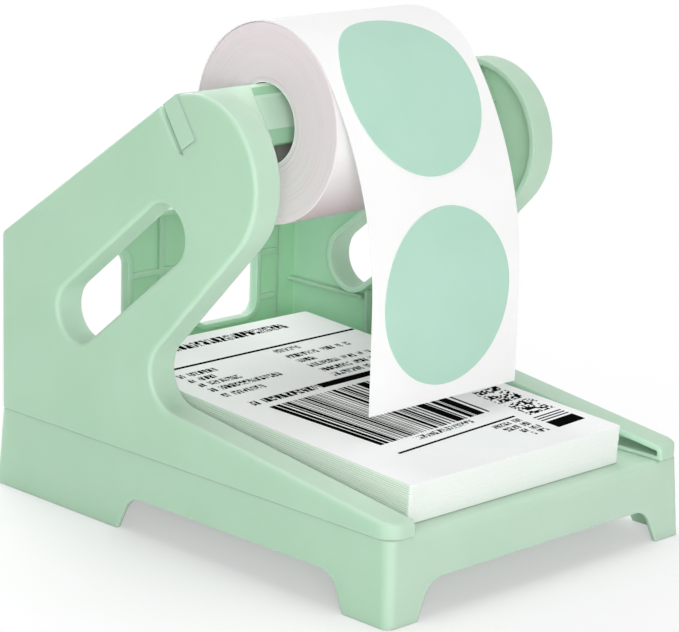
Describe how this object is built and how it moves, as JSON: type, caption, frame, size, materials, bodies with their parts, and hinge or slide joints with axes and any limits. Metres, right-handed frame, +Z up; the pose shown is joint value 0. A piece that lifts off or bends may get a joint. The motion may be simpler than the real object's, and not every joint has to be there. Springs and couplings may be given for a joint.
{
  "type": "label roll holder",
  "caption": "Desk holder for labels: arm-shaped side panels on a footed base carry a lift-out spindle and label roll above a tray for fan-fold labels.",
  "frame": {"origin": "on the table, under the middle of the four feet's outline", "axes": "+X to the holder's right, +Y to its rear wall, +Z up; the open front faces -Y"},
  "size_m": [0.143, 0.1924, 0.1722],
  "materials": {
    "mint_plastic": "satin",
    "core_card": "matte",
    "backing_paper": "satin",
    "round_label_paper": "satin",
    "pack_paper": "matte"
  },
  "bodies": {
    "holder": {"base": "mint_plastic", "left_side_panel": "mint_plastic", "right_side_panel": "mint_plastic", "rear_wall": "mint_plastic"},
    "spindle": {"spindle_bar": "mint_plastic", "label_strip": "backing_paper", "lower_round_label": "round_label_paper", "upper_round_label": "round_label_paper"},
    "roll": {"roll_core": "core_card", "label_roll": "backing_paper"},
    "pack": {"fanfold_pack": "pack_paper"}
  },
  "joints": [
    {"name": "spindle_lift", "type": "slide", "parent": "holder", "child": "spindle", "axis": [0, 0.5606, 0.8281], "range_m": [0, 0.045]},
    {"name": "roll_spin", "type": "hinge", "parent": "spindle", "child": "roll", "pos_m": [0, 0.00124, 0.13854], "axis": [1, 0, 0], "continuous": true},
    {"name": "pack_slide", "type": "slide", "parent": "holder", "child": "pack", "axis": [0, -1, 0], "range_m": [0, 0.165]}
  ]
}
